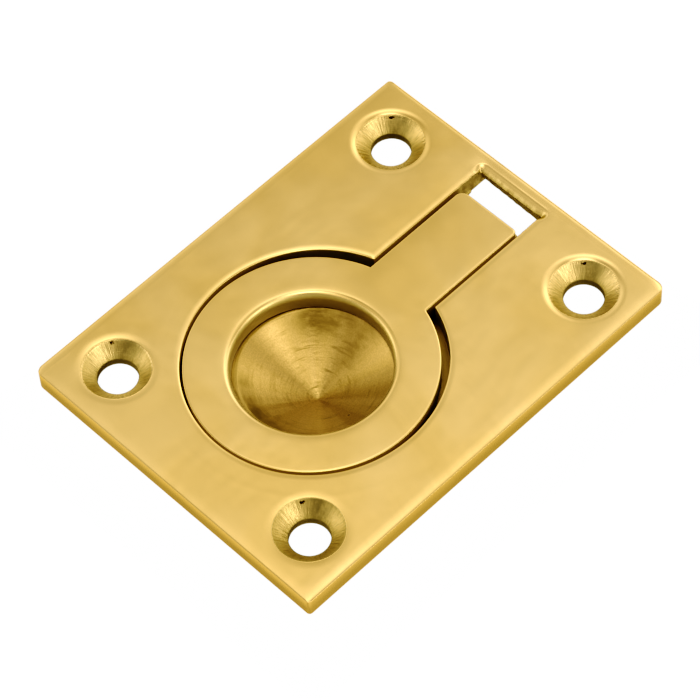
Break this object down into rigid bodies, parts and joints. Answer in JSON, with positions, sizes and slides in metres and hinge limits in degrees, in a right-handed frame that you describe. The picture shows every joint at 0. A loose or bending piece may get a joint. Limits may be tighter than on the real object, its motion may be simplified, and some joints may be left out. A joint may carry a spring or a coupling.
{
  "type": "flush ring pull",
  "caption": "Rectangular brass plate with a hinged ring lying flush in a keyhole recess, over a dished finger cup; the ring lifts on a pin behind the plate so it can be pulled.",
  "frame": {"origin": "centre of the four screw holes, on the plate's back face", "axes": "+Z out of the door, from the plate's back face to its front; +X along the plate from the ring towards the hinge; +Y across the plate, along the hinge pin"},
  "size_m": [0.065, 0.05, 0.0106],
  "materials": {
    "polished_brass": "satin polished cast brass, unlacquered, with buffed-over edges",
    "turned_brass": "turned brass with fine concentric tool marks",
    "pin_brass": "drawn brass rod with hammered ends"
  },
  "bodies": {
    "plate": {"face_plate": "polished_brass", "finger_cup": "turned_brass", "hinge_pin": "pin_brass"},
    "ring": {"ring_handle": "polished_brass"}
  },
  "joints": [
    {"name": "ring_hinge", "type": "hinge", "parent": "plate", "child": "ring", "pos_m": [0.0234, 0, -0.002], "axis": [0, 1, 0], "range_deg": [0, 104]}
  ]
}
